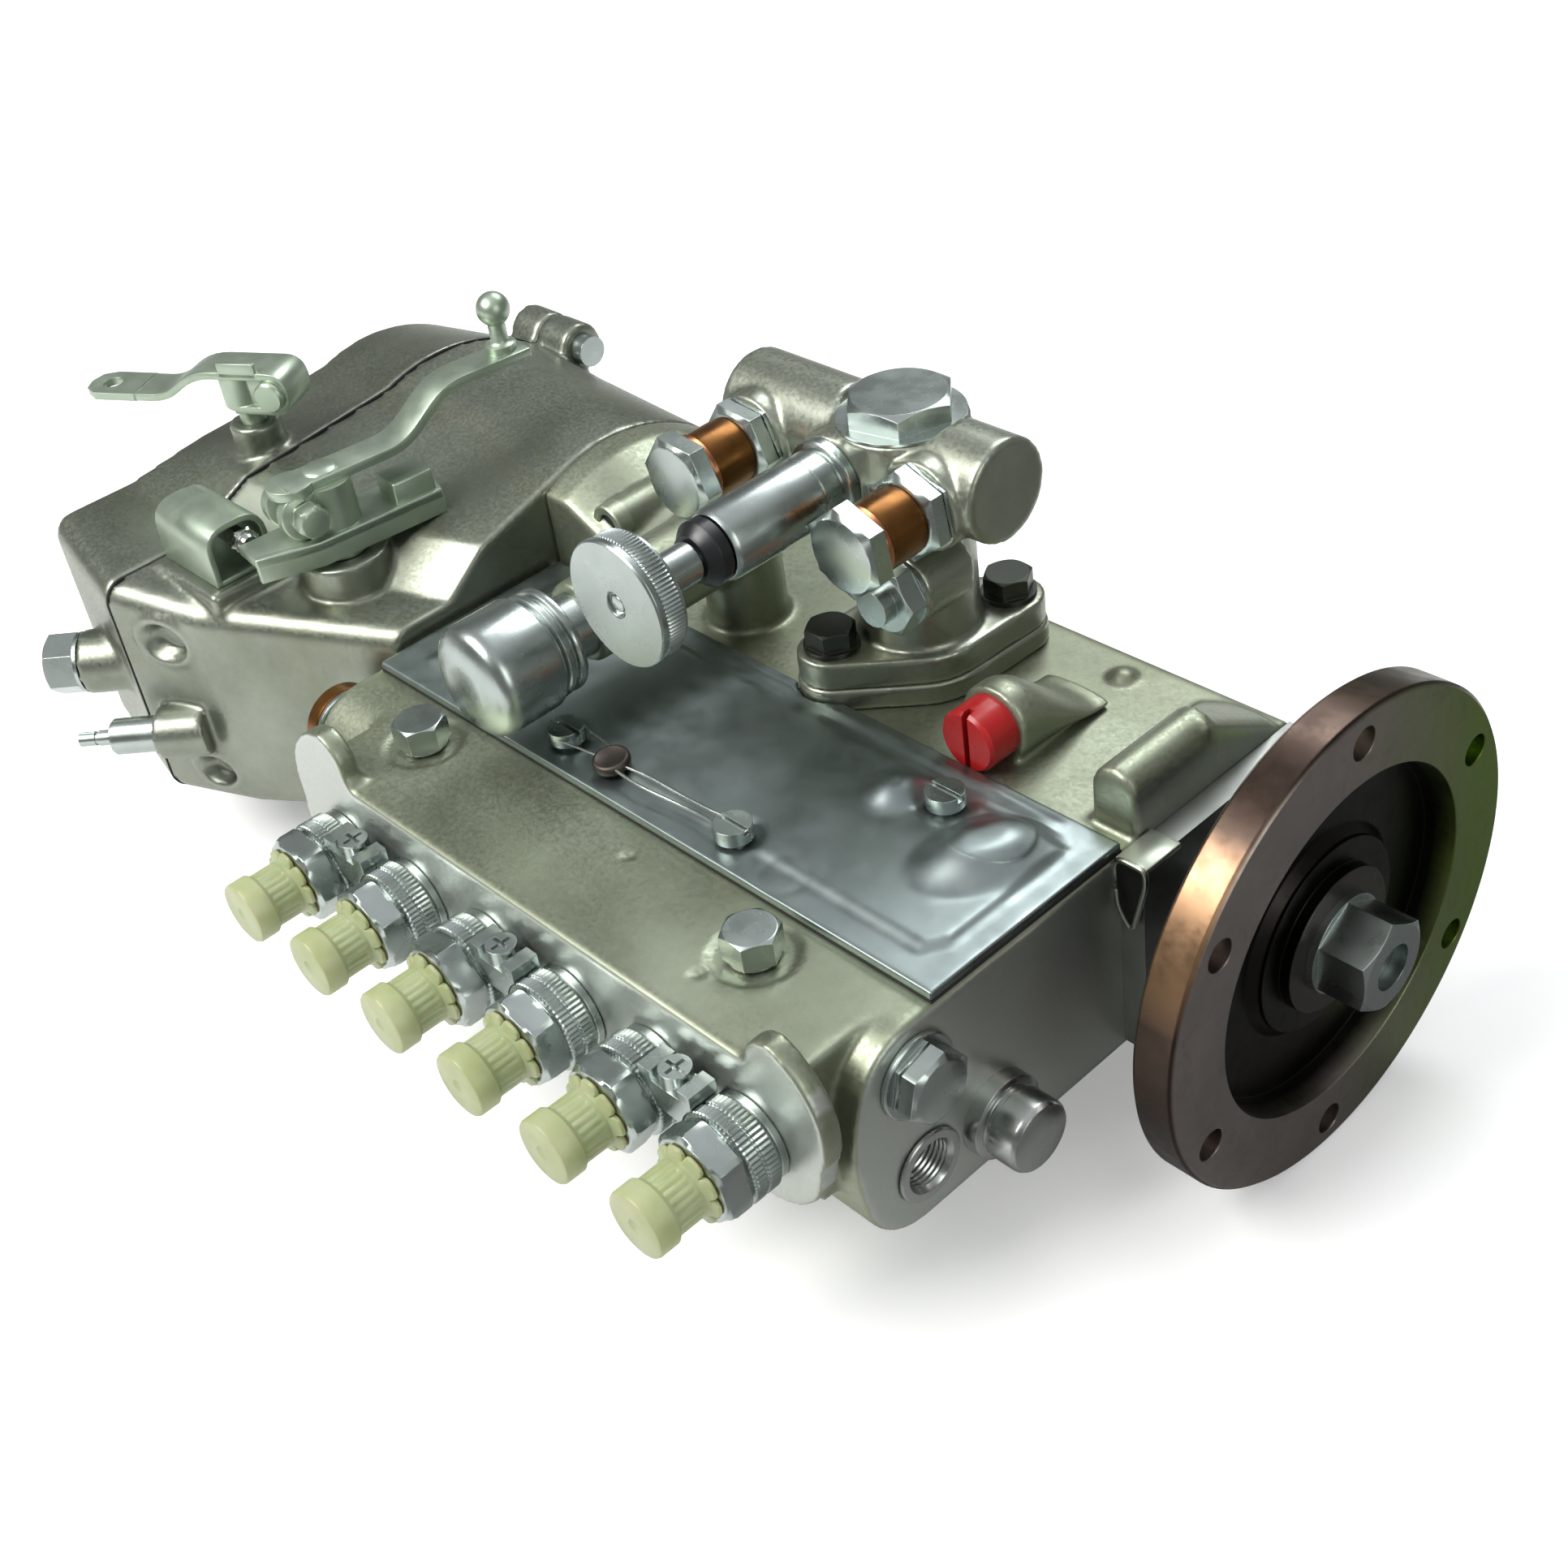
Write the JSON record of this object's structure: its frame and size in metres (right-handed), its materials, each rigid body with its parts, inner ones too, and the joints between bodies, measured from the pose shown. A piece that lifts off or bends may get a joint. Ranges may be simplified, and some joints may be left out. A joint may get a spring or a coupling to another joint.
{
  "type": "diesel injection pump",
  "caption": "In-line diesel injection pump with mechanical governor, piston feed pump with hand primer, and a drilled drive coupling flange.",
  "frame": {"origin": "centre of the coupling flange's outer face, on the camshaft axis", "axes": "+X along the camshaft, out of the flange; +Z the outward normal of the side cover; -Y the way the delivery valves point"},
  "size_m": [0.4173, 0.2307, 0.1691],
  "materials": {
    "cast_alloy": "satin cast",
    "governor_alloy": "satin cast",
    "pressed_cover": "satin grey",
    "gasket_black": "matt",
    "zinc_steel": "bright zinc plated",
    "lever_zinc": "pale green chromated zinc",
    "cap_plastic": "translucent yellow-green",
    "copper_sleeve": "copper-brown plated",
    "phosphated_steel": "dark phosphated",
    "dark_screw": "dark plated",
    "red_plastic": "gloss",
    "end_plate_grey": "machined",
    "ground_steel": "ground",
    "spring_steel": "drawn",
    "seal_rubber": "matt",
    "sheet_steel": "rolled"
  },
  "bodies": {
    "housing": {"pump_housing": "cast_alloy", "side_cover": "pressed_cover", "side_cover_gasket": "gasket_black", "cover_screws": "zinc_steel", "head_bolts": "zinc_steel", "barrels": "ground_steel", "upper_spring_seats": "ground_steel", "plunger_springs": "spring_steel", "delivery_valves": "ground_steel", "delivery_valve_holders": "zinc_steel", "holder_clamps": "zinc_steel", "clamp_screws": "zinc_steel", "protection_caps": "cap_plastic", "bearing_outer_rings": "ground_steel", "drive_end_plate": "end_plate_grey", "shaft_seal": "seal_rubber", "timing_pointer": "sheet_steel", "rack_end_cap": "zinc_steel", "fuel_port_sleeve": "sheet_steel", "gallery_plugs": "zinc_steel", "vent_plug": "red_plastic", "breather_cap": "zinc_steel", "feed_pump_adapter": "end_plate_grey", "feed_pump_body": "cast_alloy", "feed_pump_nuts": "dark_screw", "feed_pump_plugs": "zinc_steel", "banjo_bolts": "zinc_steel", "banjo_sleeves": "copper_sleeve", "primer_barrel": "zinc_steel", "governor_housing": "governor_alloy", "governor_gasket": "gasket_black", "governor_cover": "governor_alloy", "governor_fittings": "zinc_steel", "stop_bracket": "lever_zinc"},
    "camshaft_group": {"camshaft": "ground_steel", "coupling_flange": "phosphated_steel", "shaft_nut": "zinc_steel", "bearing_inner_rings": "ground_steel", "flyweight_carrier": "ground_steel"},
    "flyweight_1": {"flyweight_1": "ground_steel"},
    "flyweight_2": {"flyweight_2": "ground_steel"},
    "governor_sleeve": {"governor_sleeve": "ground_steel"},
    "governor_lever": {"governor_lever": "ground_steel"},
    "control_lever": {"control_lever": "lever_zinc"},
    "control_rack": {"control_rack": "ground_steel"},
    "stop_lever": {"stop_lever": "lever_zinc"},
    "primer_piston": {"primer_piston": "zinc_steel"},
    "feed_pump_tappet": {"feed_pump_tappet": "ground_steel"},
    "control_sleeve_1": {"control_sleeve_1": "ground_steel"},
    "pumping_element_1": {"pumping_element_1": "ground_steel"},
    "control_sleeve_2": {"control_sleeve_2": "ground_steel"},
    "pumping_element_2": {"pumping_element_2": "ground_steel"},
    "control_sleeve_3": {"control_sleeve_3": "ground_steel"},
    "pumping_element_3": {"pumping_element_3": "ground_steel"},
    "control_sleeve_4": {"control_sleeve_4": "ground_steel"},
    "pumping_element_4": {"pumping_element_4": "ground_steel"},
    "control_sleeve_5": {"control_sleeve_5": "ground_steel"},
    "pumping_element_5": {"pumping_element_5": "ground_steel"},
    "control_sleeve_6": {"control_sleeve_6": "ground_steel"},
    "pumping_element_6": {"pumping_element_6": "ground_steel"}
  },
  "joints": [
    {"name": "camshaft_spin", "type": "hinge", "parent": "housing", "child": "camshaft_group", "pos_m": [0, 0, 0], "axis": [1, 0, 0], "continuous": true},
    {"name": "flyweight_1_swing", "type": "hinge", "parent": "camshaft_group", "child": "flyweight_1", "pos_m": [-0.284, 0, 0.026], "axis": [0, 1, 0], "range_deg": [0, 12]},
    {"name": "flyweight_2_swing", "type": "hinge", "parent": "camshaft_group", "child": "flyweight_2", "pos_m": [-0.284, 0, -0.026], "axis": [0, -1, 0], "range_deg": [0, 12.01]},
    {"name": "governor_sleeve_slide", "type": "slide", "parent": "camshaft_group", "child": "governor_sleeve", "axis": [-1, 0, 0], "range_m": [0, 0.00252]},
    {"name": "governor_lever_swing", "type": "hinge", "parent": "housing", "child": "governor_lever", "pos_m": [-0.33, -0.058, 0], "axis": [0, 0, 1], "range_deg": [0, 2.5]},
    {"name": "control_lever_turn", "type": "hinge", "parent": "housing", "child": "control_lever", "pos_m": [-0.291, -0.076, 0.05], "axis": [0, 0, 1], "range_deg": [0, 45]},
    {"name": "control_rack_slide", "type": "slide", "parent": "housing", "child": "control_rack", "axis": [-1, 0, 0], "range_m": [0, 0.01776]},
    {"name": "stop_lever_turn", "type": "hinge", "parent": "housing", "child": "stop_lever", "pos_m": [-0.353, -0.062, 0.05], "axis": [0, 0, 1], "range_deg": [0, 30]},
    {"name": "primer_pull", "type": "slide", "parent": "housing", "child": "primer_piston", "axis": [0, -1, 0], "range_m": [0, 0.025]},
    {"name": "feed_tappet_slide", "type": "slide", "parent": "housing", "child": "feed_pump_tappet", "axis": [0, 0, -1], "range_m": [0, 0.008]},
    {"name": "control_sleeve_1_turn", "type": "hinge", "parent": "housing", "child": "control_sleeve_1", "pos_m": [-0.0645, -0.07, 0], "axis": [0, 1, 0], "range_deg": [0, 50.01]},
    {"name": "element_1_slide", "type": "slide", "parent": "housing", "child": "pumping_element_1", "axis": [0, 1, 0], "range_m": [0, 0.0037]},
    {"name": "control_sleeve_2_turn", "type": "hinge", "parent": "housing", "child": "control_sleeve_2", "pos_m": [-0.0965, -0.07, 0], "axis": [0, 1, 0], "range_deg": [0, 50.01]},
    {"name": "element_2_slide", "type": "slide", "parent": "housing", "child": "pumping_element_2", "axis": [0, 1, 0], "range_m": [0, 0.008]},
    {"name": "control_sleeve_3_turn", "type": "hinge", "parent": "housing", "child": "control_sleeve_3", "pos_m": [-0.1285, -0.07, 0], "axis": [0, 1, 0], "range_deg": [0, 50.01]},
    {"name": "element_3_slide", "type": "slide", "parent": "housing", "child": "pumping_element_3", "axis": [0, 1, 0], "range_m": [0, 0.0037]},
    {"name": "control_sleeve_4_turn", "type": "hinge", "parent": "housing", "child": "control_sleeve_4", "pos_m": [-0.1605, -0.07, 0], "axis": [0, 1, 0], "range_deg": [0, 50.01]},
    {"name": "element_4_slide", "type": "slide", "parent": "housing", "child": "pumping_element_4", "axis": [0, 1, 0], "range_m": [0, 0.0037]},
    {"name": "control_sleeve_5_turn", "type": "hinge", "parent": "housing", "child": "control_sleeve_5", "pos_m": [-0.1925, -0.07, 0], "axis": [0, 1, 0], "range_deg": [0, 50.01]},
    {"name": "element_5_slide", "type": "slide", "parent": "housing", "child": "pumping_element_5", "axis": [0, 1, 0], "range_m": [0, 0.008]},
    {"name": "control_sleeve_6_turn", "type": "hinge", "parent": "housing", "child": "control_sleeve_6", "pos_m": [-0.2245, -0.07, 0], "axis": [0, 1, 0], "range_deg": [0, 50.01]},
    {"name": "element_6_slide", "type": "slide", "parent": "housing", "child": "pumping_element_6", "axis": [0, 1, 0], "range_m": [0, 0.0037]}
  ],
  "couplings": [
    {"joint": "flyweight_2_swing", "follows": "flyweight_1_swing", "ratio": 1},
    {"joint": "governor_sleeve_slide", "follows": "flyweight_1_swing", "m_per_rad": 0.012},
    {"joint": "governor_lever_swing", "follows": "flyweight_1_swing", "ratio": 0.2069},
    {"joint": "control_rack_slide", "follows": "control_lever_turn", "m_per_rad": 0.0226},
    {"joint": "control_sleeve_1_turn", "follows": "control_lever_turn", "ratio": 1.1111},
    {"joint": "control_sleeve_2_turn", "follows": "control_lever_turn", "ratio": 1.1111},
    {"joint": "control_sleeve_3_turn", "follows": "control_lever_turn", "ratio": 1.1111},
    {"joint": "control_sleeve_4_turn", "follows": "control_lever_turn", "ratio": 1.1111},
    {"joint": "control_sleeve_5_turn", "follows": "control_lever_turn", "ratio": 1.1111},
    {"joint": "control_sleeve_6_turn", "follows": "control_lever_turn", "ratio": 1.1111}
  ]
}
